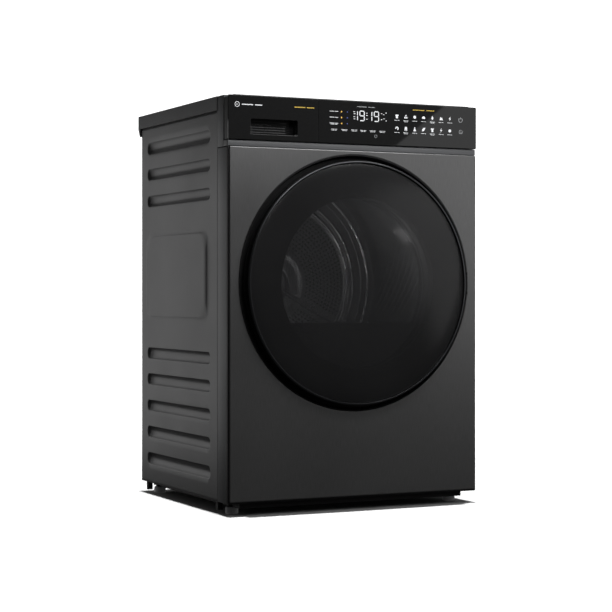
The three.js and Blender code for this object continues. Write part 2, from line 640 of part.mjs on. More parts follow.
const tank = tankPieces();
const mouth = mouthPieces();
const drive = drivePieces();
const catchBody = block([-261, -247.5], [19.2, 30], [DOOR_Z - 13, DOOR_Z + 13]);

const cabinet = new THREE.Group();
cabinet.position.set(0, FRONT_Y, 0);
cabinet.add(
  ...cabinetPieces(), ...fasciaPieces(), ...tank.fixed, ...mouth.fixed, drive.motor, drive.belt, drive.housing,
  ...heatPumpPieces(), ...rearPieces(), piece('hinge_bracket', hingeBracket(), blackPlastic),
  piece('door_catch', catchBody, blackPlastic), ...drumPieces(), ...drive.rotor, ...rollerPieces(),
  ...tensionerPieces(), ...doorPieces(), ...tank.moving, ...mouth.moving, ...footPieces(),
);

const dryer = new THREE.Group();
dryer.add(cabinet);
export default dryer;
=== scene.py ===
"""Looks of a front-loading heat-pump clothes dryer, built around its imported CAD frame.

Lengths below are millimetres. A place is (x, depth, z): depth is measured back from the front
panel's face, so it reads as it does on the machine. place() turns it into the frame's metres.
"""

import math

import bmesh
import bpy
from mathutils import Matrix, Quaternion, Vector


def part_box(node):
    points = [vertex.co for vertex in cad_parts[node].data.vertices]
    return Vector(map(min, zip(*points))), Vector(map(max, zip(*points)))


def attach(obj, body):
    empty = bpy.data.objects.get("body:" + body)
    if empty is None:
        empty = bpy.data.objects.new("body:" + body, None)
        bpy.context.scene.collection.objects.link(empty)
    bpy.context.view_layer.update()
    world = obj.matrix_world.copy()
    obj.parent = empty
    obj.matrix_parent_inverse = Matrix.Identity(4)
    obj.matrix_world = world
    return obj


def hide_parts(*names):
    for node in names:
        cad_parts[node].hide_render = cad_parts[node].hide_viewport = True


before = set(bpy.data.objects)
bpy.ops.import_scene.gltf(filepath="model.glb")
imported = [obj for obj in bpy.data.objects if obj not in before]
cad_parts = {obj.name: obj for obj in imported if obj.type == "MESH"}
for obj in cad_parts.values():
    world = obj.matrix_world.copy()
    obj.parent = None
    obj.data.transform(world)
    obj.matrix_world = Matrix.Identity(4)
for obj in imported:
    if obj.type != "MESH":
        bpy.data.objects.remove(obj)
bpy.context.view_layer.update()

# ---------------------------------------------------------------- places and sizes from the frame

MM = 0.001
FRONT_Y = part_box("front_panel")[0].y


def place(x, depth, z):
    return Vector((x * MM, FRONT_Y + depth * MM, z * MM))


def span(node):
    """Lowest and highest corner of a CAD node, as (x, depth, z) in millimetres."""
    low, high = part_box(node)
    shift = Vector((0, FRONT_Y, 0))
    return (low - shift) / MM, (high - shift) / MM


def middle(node):
    low, high = span(node)
    return (low + high) / 2


PANEL_LOW, PANEL_HIGH = span("front_panel")
HALF = span("worktop")[1].x
DOOR = middle("door_ring")
DOOR_R = (span("door_ring")[1].x - span("door_ring")[0].x) / 2
CENTRE = (0.0, DOOR.z)                      # the door's and the drum's axis, as (x, z)
RECESS_R = DOOR_R + 13
WINDOW_R = DOOR_R - 78
GLASS_FRONT = span("door_glass")[0].y

# ---------------------------------------------------------------- mesh tools

AXES = {                                    # how a drawing's (u, v) and its height w lie in space
    "y": lambda u, v, w: (u, w, v),
    "x": lambda u, v, w: (w, u, v),
    "z": lambda u, v, w: (u, v, w),
}


def angles(count):
    """Equal steps once round."""
    return [2 * math.pi * k / count for k in range(count)]


def link(name, data):
    """A new object of this data, in the scene."""
    obj = bpy.data.objects.new(name, data)
    bpy.context.scene.collection.objects.link(obj)
    return obj


def finish_mesh(name, bm, smooth=32):
    """A linked object from a bmesh drawn in millimetres: closed faces out, soft but for real edges."""
    bmesh.ops.remove_doubles(bm, verts=bm.verts, dist=0.002)
    bmesh.ops.recalc_face_normals(bm, faces=bm.faces)
    for vert in bm.verts:
        vert.co = place(*vert.co)
    mesh = bpy.data.meshes.new(name)
    bm.to_mesh(mesh)
    bm.free()
    mesh.shade_smooth()
    mesh.set_sharp_from_angle(angle=math.radians(smooth))
    return link(name, mesh)


def dress(obj, body, material, nodes=()):
    """Gives a piece its material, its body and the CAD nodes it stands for."""
    obj.data.materials.append(material)
    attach(obj, body)
    if nodes:
        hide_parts(*nodes)
    return obj


def filleted(points, steps=4):
    """Rounds each corner of a closed outline that states a third number, its setback."""
    result = []
    for i, point in enumerate(points):
        here = Vector(point[:2])
        if len(point) < 3:
            result.append(here)
            continue
        before = Vector(points[i - 1][:2])
        after = Vector(points[(i + 1) % len(points)][:2])
        start = here + (before - here).normalized() * point[2]
        end = here + (after - here).normalized() * point[2]
        for k in range(steps + 1):
            t = k / steps
            result.append(start * (1 - t) ** 2 + here * 2 * t * (1 - t) + end * t * t)
    return result


def lathe(name, section, centre=CENTRE, steps=144, axis="y", smooth=32):
    """Revolves a closed (radius, height) outline about an axis through centre."""
    outline = filleted(section)
    bm = bmesh.new()
    rings = []
    for r, w in outline:
        if r < 1e-6:
            rings.append([bm.verts.new(AXES[axis](*centre, w))])
            continue
        around = [(centre[0] + r * math.cos(a), centre[1] + r * math.sin(a)) for a in angles(steps)]
        rings.append([bm.verts.new(AXES[axis](u, v, w)) for u, v in around])
    for low, high in zip(rings, rings[1:] + rings[:1]):
        if len(low) == 1 and len(high) == 1:
            continue
        for k in range(steps):
            n = (k + 1) % steps
            corners = [low[k % len(low)], low[n % len(low)], high[n % len(high)], high[k % len(high)]]
            bm.faces.new(list(dict.fromkeys(corners)))
    return finish_mesh(name, bm, smooth)


def rounded_rect(u0, u1, v0, v1, r, steps=6):
    """An outline as a function of how far the material's edge draws back from it."""
    def outline(inset=0.0):
        points = []
        reach = max(r - inset, 0.05)
        corners = [(u1, v0, -90), (u1, v1, 0), (u0, v1, 90), (u0, v0, 180)]
        for u, v, start in corners:
            cu = u - math.copysign(r, u - (u0 + u1) / 2)
            cv = v - math.copysign(r, v - (v0 + v1) / 2)
            if r < inset + 0.05:
                cu = u - math.copysign(inset + 0.05, u - (u0 + u1) / 2)
                cv = v - math.copysign(inset + 0.05, v - (v0 + v1) / 2)
            for k in range(steps + 1):
                a = math.radians(start + 90 * k / steps)
                points.append((cu + reach * math.cos(a), cv + reach * math.sin(a)))
        return points
    return outline


def opening(shape):
    """The same outline as a hole: its material draws back outwards."""
    return lambda inset=0.0: shape(-inset)


def circle(cu, cv, r, steps=144):
    def outline(inset=0.0):
        reach = r - inset
        return [(cu + reach * math.cos(a), cv + reach * math.sin(a)) for a in angles(steps)]
    return outline


def polygon(points, steps=3):
    """A free outline, which doesn't draw back at its rounded edge."""
    fixed = [tuple(p) for p in filleted(points, steps)]
    return lambda inset=0.0: fixed


def add_plate(bm, outlines, w0, w1, front=0.6, back=0.2, axis="y", steps=3):
    """Adds a flat plate with rounded edges: the first outline is its rim and the others are holes."""
    levels = [(front + 0.4, w0)]                # the flat face starts a little inside its rounded edge
    for k in range(steps + 1):
        a = math.pi / 2 * k / steps
        levels.append((front * (1 - math.sin(a)), w0 + front * (1 - math.cos(a))))
    for k in range(steps + 1):
        a = math.pi / 2 * k / steps
        levels.append((back * (1 - math.cos(a)), w1 - back * (1 - math.sin(a))))
    levels.append((back + 0.4, w1))
    ends = {0: [], len(levels) - 1: []}
    for outline in outlines:
        rings = []
        for inset, w in levels:
            rings.append([bm.verts.new(AXES[axis](u, v, w)) for u, v in outline(inset)])
        for low, high in zip(rings, rings[1:]):
            for k in range(len(low)):
                n = (k + 1) % len(low)
                bm.faces.new((low[k], low[n], high[n], high[k]))
        for level in ends:
            ring = rings[level]
            edges = [bm.edges.get((ring[k], ring[(k + 1) % len(ring)])) for k in range(len(ring))]
            ends[level].extend(edges)
    for edges in ends.values():
        bmesh.ops.triangle_fill(bm, use_beauty=True, edges=edges)


def plate(name, outlines, w0, w1, front=0.6, back=0.2, steps=3):
    bm = bmesh.new()
    add_plate(bm, outlines, w0, w1, front, back, steps=steps)
    return finish_mesh(name, bm)


def add_block(bm, low, high, r=0.6, steps=2):
    """Adds a block with every edge rounded."""
    made = bmesh.ops.create_cube(bm, size=1)["verts"]
    low = Vector(low)
    high = Vector(high)
    for vert in made:
        vert.co = Vector([lo + (hi - lo) * (c + 0.5) for lo, hi, c in zip(low, high, vert.co)])
    edges = list({edge for vert in made for edge in vert.link_edges})
    bmesh.ops.bevel(bm, geom=edges, offset=r, segments=steps, affect="EDGES", profile=0.5)


def block(name, low, high, r=0.6, steps=2):
    bm = bmesh.new()
    add_block(bm, low, high, r, steps)
    return finish_mesh(name, bm)


def skin(bm, rings):
    """Joins a row of equal closed rings of vertices into one skin and closes both of its ends."""
    bm.faces.new(rings[0])
    bm.faces.new(rings[-1][::-1])
    for a, b in zip(rings, rings[1:]):
        for k in range(len(a)):
            n = (k + 1) % len(a)
            bm.faces.new((a[k], b[k], b[n], a[n]))


# ---------------------------------------------------------------- materials


def fill(node, values):
    """Sets inputs by name; an underscore stands for a space."""
    for key, value in values.items():
        node.inputs[key.replace("_", " ")].default_value = value


def add_node(tree, kind, **values):
    node = tree.nodes.new("ShaderNode" + kind)
    fill(node, values)
    return node


class Nodes:
    """A short hand for building one material's nodes."""

    def __init__(self, name):
        self.material = bpy.data.materials.new(name)
        self.material.use_nodes = True
        self.tree = self.material.node_tree
        self.shader = self.tree.nodes["Principled BSDF"]
        self.position = add_node(self.tree, "TexCoord").outputs["Object"]

    def link(self, source, target):
        self.tree.links.new(source, target)

    def noise(self, scale, detail=3.0, stretch=(1, 1, 1)):
        mapping = add_node(self.tree, "Mapping", Scale=stretch)
        texture = add_node(self.tree, "TexNoise", Scale=scale, Detail=detail)
        self.link(self.position, mapping.inputs["Vector"])
        self.link(mapping.outputs["Vector"], texture.inputs["Vector"])
        return texture.outputs["Fac"]

    def ramp(self, source, stops):
        node = add_node(self.tree, "ValToRGB")
        elements = node.color_ramp.elements
        while len(elements) < len(stops):
            elements.new(0.5)
        for element, (at, color) in zip(elements, stops):
            element.position = at
            element.color = (*color, 1)
        self.link(source, node.inputs["Fac"])
        return node.outputs["Color"]

    def spread(self, source, low, high, side="To"):
        """Maps 0..1 to low..high, or with side "From", low..high to 0..1."""
        node = add_node(self.tree, "MapRange", **{f"{side}_Min": low, f"{side}_Max": high})
        self.link(source, node.inputs["Value"])
        return node.outputs["Result"]

    def bump(self, source, strength, distance):
        node = add_node(self.tree, "Bump", Strength=strength, Distance=distance)
        self.link(source, node.inputs["Height"])
        return node.outputs["Normal"]

    def tint(self, source, color, vary):
        """A colour that wavers between a darker and a lighter version of itself."""
        dark, light = (tuple(c * f for c in color) for f in (1 - vary, 1 + vary))
        return self.ramp(source, [(0.3, dark), (0.7, light)])

    def set(self, **values):
        fill(self.shader, values)

    def feed(self, **sources):
        """Links each source to the shader's input of that name."""
        for key, source in sources.items():
            self.link(source, self.shader.inputs[key.replace("_", " ")])


RELIEF = 0.0001                             # height of a finish's fine relief, in metres


def surface(name, color, roughness, metallic=0.0, stretch=(1, 1, 1), fine=900.0, vary=0.12, bump=0.1,
            gloss_vary=0.05, specular=0.5):
    """A solid finish: fine colour variation, broad changes of gloss and a fine relief."""
    nodes = Nodes(name)
    grain = nodes.noise(fine, 4.0, stretch)
    broad = nodes.noise(7.0, 2.0)
    gloss = nodes.spread(broad, max(roughness - gloss_vary, 0.02), roughness + gloss_vary)
    relief = nodes.bump(grain, bump, RELIEF)
    nodes.feed(Base_Color=nodes.tint(grain, color, vary), Roughness=gloss, Normal=relief)
    nodes.set(Metallic=metallic, Specular_IOR_Level=specular)
    return nodes.material


def see_through(name, color, alpha, roughness=0.03, specular=0.5):
    """Glass whose tint and faint smears come from noise."""
    nodes = Nodes(name)
    smear = nodes.noise(5.0, 3.0)
    gloss = nodes.spread(smear, max(roughness - 0.01, 0.005), roughness + 0.015)
    cover = nodes.spread(smear, alpha - 0.02, alpha + 0.02)
    nodes.feed(Base_Color=nodes.tint(smear, color, 0.15), Roughness=gloss, Alpha=cover)
    nodes.set(Specular_IOR_Level=specular)
    return nodes.material


def glow(name, color, strength):
    """A printed or lit mark: its own colour, faintly uneven, with a little light of its own, which on
    printed marks is a painted glow.
    """
    nodes = Nodes(name)
    tint = nodes.tint(nodes.noise(600.0), color, 0.1)
    nodes.feed(Base_Color=tint, Emission_Color=tint)
    nodes.set(Emission_Strength=strength, Roughness=0.4)
    return nodes.material


SHEET = surface("painted_sheet", (0.09, 0.09, 0.091), 0.42, 0.35, fine=1400, vary=0.10, bump=0.05)
SHEET_TRIM = surface("painted_trim", (0.07, 0.072, 0.075), 0.45, 0.3, fine=1400, vary=0.10, bump=0.05)
FRONT_METAL = surface("front_metal", (0.212, 0.212, 0.213), 0.36, 0.9, (1, 1, 0.03), 1500, 0.10, 0.05)
WORKTOP = surface("worktop_laminate", (0.055, 0.056, 0.058), 0.45, 0.1, fine=2200, vary=0.25, bump=0.15)
FASCIA = surface("fascia_gloss", (0.012, 0.012, 0.0122), 0.03, fine=300, vary=0.1, bump=0, gloss_vary=0.01)
BLACK = surface("black_plastic", (0.006, 0.006, 0.0065), 0.5, fine=2600, vary=0.2, bump=0.25, specular=0.3)
GREY = surface("grey_plastic", (0.11, 0.112, 0.117), 0.48, fine=2600, vary=0.12, bump=0.25)
DARK_GREY = surface("dark_grey_plastic", (0.045, 0.046, 0.048), 0.45, fine=2600, vary=0.15, bump=0.25)
FOOT = surface("foot_plastic", (0.65, 0.65, 0.66), 0.5, fine=2000, vary=0.15, bump=0.3)
TRIM = surface("door_trim", (0.085, 0.087, 0.092), 0.22, 0.9, fine=700, vary=0.08, bump=0.03)
STEEL = surface("stainless_steel", (0.42, 0.425, 0.43), 0.3, 1.0, (1, 8, 1), 500, 0.10, 0.10)
DRUM_STEEL = surface("drum_steel", (0.22, 0.222, 0.225), 0.5, 1.0, (1, 8, 1), 500, 0.12, 0.10)
# A much lighter copy of the drum's steel, for rings over the rear wall's beads: a painted highlight.
BEAD_STEEL_PAINTED_HIGHLIGHT = surface("bead_steel_painted_highlight", (0.85, 0.855, 0.86), 0.28, 0.8, fine=500, vary=0.08, bump=0.05)
ZINC = surface("galvanised_steel", (0.36, 0.37, 0.38), 0.42, 0.9, fine=110, vary=0.12, bump=0.03)
RUBBER = surface("rubber", (0.012, 0.012, 0.012), 0.75, fine=1500, vary=0.2, bump=0.3)
FELT = surface("felt", (0.13, 0.125, 0.12), 0.95, fine=3000, vary=0.35, bump=0.8)
ALUMINIUM = surface("aluminium", (0.5, 0.51, 0.52), 0.38, 1.0, (1, 1, 10), 500, 0.1, 0.1)
COPPER = surface("copper", (0.72, 0.33, 0.19), 0.3, 1.0, fine=300, vary=0.15, bump=0.05)
MILKY = surface("milky_plastic", (0.42, 0.44, 0.45), 0.35, fine=1200, vary=0.08, bump=0.1)
POCKET = surface("pocket_gloss", (0.009, 0.009, 0.0095), 0.06, vary=0.1, bump=0.02, gloss_vary=0.02)
SMOKED = see_through("smoked_glass", (0.028, 0.028, 0.029), 0.5, 0.16)
CLEAR = see_through("clear_glass", (0.10, 0.105, 0.11), 0.08, 0.12, 0.25)
# Mark colours with emission: the display digits and the amber and blue lamps are lit, while the printed
# captions, icons and brand print glow as painted light.
WHITE_MARK_LIT_AND_PAINTED_GLOW = glow("white_mark_lit_and_painted_glow", (0.72, 0.73, 0.75), 0.45)
DIM_MARK_PAINTED_GLOW = glow("dim_mark_painted_glow", (0.36, 0.37, 0.38), 0.25)
GOLD_MARK_PAINTED_GLOW = glow("gold_mark_painted_glow", (0.62, 0.42, 0.06), 0.25)
AMBER_MARK = glow("amber_mark", (0.85, 0.5, 0.09), 0.5)
BLUE_MARK = glow("blue_mark", (0.08, 0.12, 0.40), 0.25)

# CAD nodes that stay as they are, with the material each one gets
KEPT = {
    BLACK: ("base_pan", "control_panel_carrier", "tank_tray", "filter_duct", "fan_housing", "compressor",
            "condensate_pump", "door_catch", "hinge_bracket", "hinge_leaf", "door_inner_cover"),
    ALUMINIUM: ("drive_motor", "evaporator", "condenser"),
    STEEL: ("motor_shaft_pulley", "drum_shaft", "latch_hook"),
    ZINC: ("rear_bearing", "idler_arm"),
    GREY: ("process_fan", "idler_pulley", "tank_lid"),
    RUBBER: ("drum_belt", "drum_roller_left", "drum_roller_right"),
    COPPER: ("refrigerant_pipe",),
    FELT: ("drum_front_felt",),
    MILKY: ("tank_body",),
}


def dress_kept_nodes():
    for material, nodes in KEPT.items():
        for node in nodes:
            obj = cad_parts[node]
            obj.data.materials.clear()
            obj.data.materials.append(material)


# ---------------------------------------------------------------- cabinet

GROOVE_HEIGHTS = [(68.6, 95.5), (130, 156), (190.5, 216), (250.5, 276.5),
                  (309.5, 336), (657, 683), (718, 744.5), (777, 805)]
GROOVE_DEPTHS = (104, 478)
GROOVE_SAG = 8                              # each groove is an arc in section, this deep
FIELD = (98, 500, 384.5, 611)               # the raised centre field: depths, then heights
FIELD_CORNER = 55
FIELD_RISE = 3
FIELD_WALL = 24                             # width of the slope up to the field
FOLD = 4.5                                  # width of the sheet's rounded edge
FOLD_DROP = 1.8
SHEET_T = 1.2


def inside_distance(u, v, u0, u1, v0, v1, r):
    """How far a point lies inside a rectangle with round corners."""
    du = abs(u - (u0 + u1) / 2) - (u1 - u0) / 2 + r
    dv = abs(v - (v0 + v1) / 2) - (v1 - v0) / 2 + r
    outside = math.hypot(max(du, 0), max(dv, 0))
    return r - outside - min(max(du, dv), 0)


def ease(t):
    t = min(max(t, 0.0), 1.0)
    return t * t * (3 - 2 * t)


def pressed(depth, z):
    """How far the side sheet stands out from its plain face: grooves go in, the centre field goes out."""
    out = 0.0
    for low, high in GROOVE_HEIGHTS:
        half = (high - low) / 2
        inside = inside_distance(depth, z, *GROOVE_DEPTHS, low, high, half - 1)
        if inside > 0:
            radius = (half ** 2 + GROOVE_SAG ** 2) / (2 * GROOVE_SAG)
            out -= math.sqrt(radius ** 2 - max(half - inside, 0) ** 2) - radius + GROOVE_SAG
    inside = inside_distance(depth, z, *FIELD, FIELD_CORNER)
    return out + FIELD_RISE * min(max(inside / FIELD_WALL, 0), 1) ** 5


def lines(low, high, fine, coarse, details):
    """Grid lines from low to high: close together inside the detail spans and far apart outside them."""
    values = [low]
    while values[-1] < high - 0.01:
        here = values[-1]
        inside = any(a - 0.01 <= here < b - 0.01 for a, b in details)
        step = fine if inside else coarse
        ahead = [edge for pair in details for edge in pair if edge > here + 0.01]
        values.append(min([here + step, high, *ahead]))
    return values


def side_sheet(name, side, node):
    """One side sheet with its pressings and its rounded edges."""
    low, high = span(node)
    base = HALF - FIELD_RISE
    depth_details = [(low.y, low.y + 6), (96, 122), (466, 502), (high.y - 6, high.y)]
    height_details = [(a - 1, b + 1) for a, b in GROOVE_HEIGHTS] + [(382, 412), (584, 613)]
    height_details += [(low.z, low.z + 6), (high.z - 6, high.z)]
    depths = lines(low.y, high.y, 1.5, 14, depth_details)
    heights = lines(low.z, high.z, 1.2, 12, height_details)
    bm = bmesh.new()
    faces = []
    for offset in (0.0, SHEET_T):
        grid = []
        for z in heights:
            row = []
            for depth in depths:
                edge = min(depth - depths[0], depths[-1] - depth, z - heights[0], heights[-1] - z)
                fold = FOLD_DROP * (1 - ease(edge / FOLD))
                row.append(bm.verts.new((side * (base + pressed(depth, z) - fold - offset), depth, z)))
            grid.append(row)
        for low_row, high_row in zip(grid, grid[1:]):
            for k in range(len(depths) - 1):
                bm.faces.new((low_row[k], low_row[k + 1], high_row[k + 1], high_row[k]))
        faces.append(grid)
    outer, inner = faces
    rim = [(0, k) for k in range(len(depths))]
    rim += [(j, len(depths) - 1) for j in range(1, len(heights))]
    rim += [(len(heights) - 1, k) for k in range(len(depths) - 2, -1, -1)]
    rim += [(j, 0) for j in range(len(heights) - 2, 0, -1)]
    for (j, k), (m, n) in zip(rim, rim[1:] + rim[:1]):
        bm.faces.new((outer[j][k], outer[m][n], inner[m][n], inner[j][k]))
    sheet = finish_mesh(name, bm, 60)
    return dress(sheet, "cabinet", SHEET, (node,))


def cabinet():
    for side, word in ((-1, "left"), (1, "right")):
        side_sheet(f"side_sheet_{word}", side, f"side_panel_{word}")
        for part, slot in (("front_post", "grey_plastic"), ("fascia_cheek", "painted_sheet_trim")):
            low, high = span(f"{part}_{word}")
            piece = block(f"{part}_{word}_shell", low, high, 1.3, 4)
            dress(piece, "cabinet", SHEET_TRIM, (f"{part}_{word}",))

    low, high = span("front_frame")
    rim = rounded_rect(low.x, high.x, low.z, high.z, 2.5)
    frame_hole = opening(circle(*CENTRE, RECESS_R + 4))
    surround = plate("front_frame_surround", [rim, frame_hole], low.y, high.y, 0.8, 0.4)
    dress(surround, "cabinet", BLACK, ("front_frame",))

    rim = rounded_rect(PANEL_LOW.x, PANEL_HIGH.x, PANEL_LOW.z, PANEL_HIGH.z, 3)
    hole = opening(circle(*CENTRE, RECESS_R))
    panel = plate("front_panel_sheet", [rim, hole], 0, 3, front=2.2, back=0.3, steps=5)
    dress(panel, "cabinet", FRONT_METAL, ("front_panel",))

    low, high = span("fascia_ledge")
    ledge = block("fascia_ledge_bar", low, high, 1.0, 3)
    dress(ledge, "cabinet", GREY, ("fascia_ledge",))


def worktop():
    low, high = span("worktop")
    slab_front = span("fascia_cheek_left")[1].y + 0.4
    slab_bottom = span("side_panel_left")[1].z + 0.4
    rear = high.y
    lip = rear - 11.6
    side = [
        (slab_front, high.z, 0.6), (slab_front, slab_bottom, 0.6), (lip, slab_bottom), (lip, low.z, 0.4),
        (lip + 2, low.z, 0.4), (rear, slab_bottom, 1.5), (rear, high.z, 3),
    ]
    bm = bmesh.new()
    add_plate(bm, [polygon(side, 5)], low.x, high.x, 0, 0, "x")
    slab = finish_mesh("worktop_slab", bm)
    bevel = slab.modifiers.new("edge", "BEVEL")
    bevel.width = 1.2 * MM
    bevel.segments = 3
    bevel.limit_method = "ANGLE"
    bevel.angle_limit = math.radians(50)
    dress(slab, "cabinet", WORKTOP, ("worktop",))
    tongue = block("worktop_tongue", (-280.5, 8, high.z - 3.5), (280.5, slab_front + 1, high.z), 0.5)
    dress(tongue, "cabinet", WORKTOP, ())


# ---------------------------------------------------------------- fascia


MARK_DEPTHS = (-0.18, -0.02)                # front and back of a mark, just before the fascia's face


class Marks:
    """Thin printed or lit shapes in one colour, gathered into one piece on the fascia's face."""

    def __init__(self, name, material, body="cabinet", slot="fascia_glass"):
        self.name, self.material, self.body, self.slot = name, material, body, slot
        self.bm = bmesh.new()

    def shape(self, points):
        """A flat shape from its (x, z) outline."""
        skin(self.bm, [[self.bm.verts.new((x, depth, z)) for x, z in points] for depth in MARK_DEPTHS])

    def bar(self, x, z, width, height):
        self.shape([(x - width / 2, z - height / 2), (x + width / 2, z - height / 2),
                    (x + width / 2, z + height / 2), (x - width / 2, z + height / 2)])

    def disc(self, x, z, r, steps=14):
        self.shape([(x + r * math.cos(a), z + r * math.sin(a)) for a in angles(steps)])

    def ring(self, x, z, r, width, start=0.0, end=360.0, steps=20):
        """An arc, as a row of short flat shapes."""
        turn = [math.radians(start + (end - start) * k / steps) for k in range(steps + 1)]
        for a, b in zip(turn, turn[1:]):
            self.shape([(x + q * math.cos(t), z + q * math.sin(t))
                        for q, t in ((r, a), (r, b), (r - width, b), (r - width, a))])

    def caption(self, x, z, width, rows=1, height=1.15):
        """Stands for a line of small print: a few plain bars, no letters."""
        for row in range(rows):
            share = width * (1 - 0.22 * row)
            first = share * 0.55
            self.bar(x - share / 2 + first / 2, z - 2.2 * row, first, height)
            self.bar(x + share / 2 - share * 0.18, z - 2.2 * row, share * 0.36, height)

    def done(self):
        obj = finish_mesh(self.name, self.bm)
        dress(obj, self.body, self.material, ())


SEGMENTS = {"1": "bc", "9": "abcdfg"}


def digit(marks, value, x, z, width, height, stroke):
    """A seven-segment digit with its lower left corner at (x, z)."""
    gap = 0.35
    half = height / 2
    upright = {"f": (x, z + half), "b": (x + width, z + half), "e": (x, z), "c": (x + width, z)}
    level = {"d": z, "g": z + half, "a": z + height}
    for key in SEGMENTS[value]:
        if key in upright:
            u, v = upright[key]
            a, b, s = v + gap, v + half - gap, stroke / 2
            marks.shape([(u, a), (u + s, a + s), (u + s, b - s), (u, b), (u - s, b - s), (u - s, a + s)])
        else:
            v = level[key]
            a, b, s = x + gap, x + width - gap, stroke / 2
            marks.shape([(a, v), (a + s, v - s), (b - s, v - s), (b, v), (b - s, v + s), (a + s, v + s)])


def icon(marks, kind, x, z, r):
    """Small plain pictograms: garments, drops, discs and the like."""
    outlines = {
        "shirt": [(-1, .55), (-.45, 1), (-.2, .8), (.2, .8), (.45, 1), (1, .55), (.75, .2), (.55, .35),
                  (.55, -1), (-.55, -1), (-.55, .35), (-.75, .2)],
        "trousers": [(-.6, 1), (.6, 1), (.75, -1), (.25, -1), (0, .2), (-.25, -1), (-.75, -1)],
        "dress": [(-.35, 1), (.35, 1), (.3, .3), (.85, -1), (-.85, -1), (-.3, .3)],
        "block": [(-.9, -.6), (.9, -.6), (.9, .1), (.4, .6), (-.4, .6), (-.9, .1)],
        "drop": [(0, 1.1), (.5, .2), (.6, -.4), (0, -.95), (-.6, -.4), (-.5, .2)],
        "leaf": [(-.9, -.9), (-.7, .3), (.1, .9), (.95, .95), (.7, 0), (0, -.7)],
        "hill": [(-1, -.8), (-.2, .9), (.2, .1), (.5, .5), (1, -.8)],
        "bolt": [(.3, 1.1), (-.7, -.1), (-.05, -.1), (-.3, -1.1), (.7, .2), (.05, .2)],
    }
    if kind in outlines:
        marks.shape([(x + r * u, z + r * v) for u, v in outlines[kind]])
    elif kind == "disc":
        marks.disc(x, z, 0.8 * r)
    elif kind == "moon":
        marks.ring(x, z, 0.95 * r, 0.55 * r, -70, 200, 16)
    elif kind == "dots":
        for u, v in ((-.5, -.5), (.5, -.5), (0, .5)):
            marks.disc(x + r * u, z + r * v, 0.42 * r, 10)


ICON_ROWS = [                               # height of each row and its pictograms
    (840, ["shirt", "dots", "disc", "block", "drop", "hill", "bolt"]),
    (814, ["moon", "trousers", "dress", "leaf", "shirt", "bolt", "disc"]),
]


def fascia():
    low, high = span("control_glass")
    rim = rounded_rect(low.x, high.x, low.z, high.z, 2.5)
    glass = plate("control_glass_face", [rim], 0, 4, 1.0, 0.3, steps=4)
    dress(glass, "cabinet", FASCIA, ("control_glass",))

    # The white digits glow as the lit display. The printed captions and icons, and the dim and gold print,
    # glow as painted light.
    white = Marks("fascia_white_marks", WHITE_MARK_LIT_AND_PAINTED_GLOW)
    dim = Marks("fascia_dim_marks", DIM_MARK_PAINTED_GLOW)
    amber = Marks("fascia_amber_lamps", AMBER_MARK)
    blue = Marks("fascia_blue_lamps", BLUE_MARK)
    gold = Marks("fascia_gold_marks", GOLD_MARK_PAINTED_GLOW)

    option_rows = (844, 831.5, 819)
    for k, z in enumerate(option_rows):
        white.caption(-54, z, 20, rows=1 + (k == 2))
        amber.disc(-36, z, 1.5)
        blue.disc(-22.3, z, 1.2)
    for k, z in enumerate((845, 841, 834.5, 830)):
        white.bar(-6 + (k % 2), z, 4.0, 1.3)
    base, height, stroke = 826.9, 20.4, 2.0
    for x in (2, 36.4):
        digit(white, "1", x - 10.5, base, 10.5, height, stroke)
    for x in (7.6, 42.2):
        digit(white, "9", x, base, 10.6, height, stroke)
    for z in (843.5, 838.5, 830.5):
        white.bar(24.5, z, 4.0, 1.2)
    for u, z in ((60, 844), (65, 842), (71, 846), (60, 831), (66, 833), (71, 829)):
        white.bar(u, z, 3.2, 1.3)
    dim.caption(21.8, 856.3, 42)
    for x in (-53.6, -29.1, -5.9, 15.5, 38.4, 61.7):
        white.caption(x, 806.3, 14.5, rows=2, height=0.95)
    dim.ring(46.1, 794.9, 3.4, 0.7)
    gold.caption(162.7, 855.5, 53, height=1.5)
    first_icon, icon_pitch = 97.4, 21.9
    for z, kinds in ICON_ROWS:
        for k, kind in enumerate(kinds):
            x = first_icon + icon_pitch * k
            icon(white, kind, x, z, 4.3)
            white.caption(x, z - 8.6, 12, rows=1 + (k % 3 == 1), height=0.95)
    dim.ring(256, 838.4, 5.2, 1.0, 120, 420)
    dim.bar(256, 842.6, 1.0, 4.0)
    dim.ring(256.4, 812.7, 4.6, 0.9)
    dim.bar(256.4, 812.7, 4.6, 1.0)
    dim.bar(256.4, 809.4, 4.6, 1.0)
    for marks in (white, dim, amber, blue, gold):
        marks.done()


# ---------------------------------------------------------------- water tank

GRIP = (-246, -139, 789, 820)               # the finger pocket's mouth: x, then z


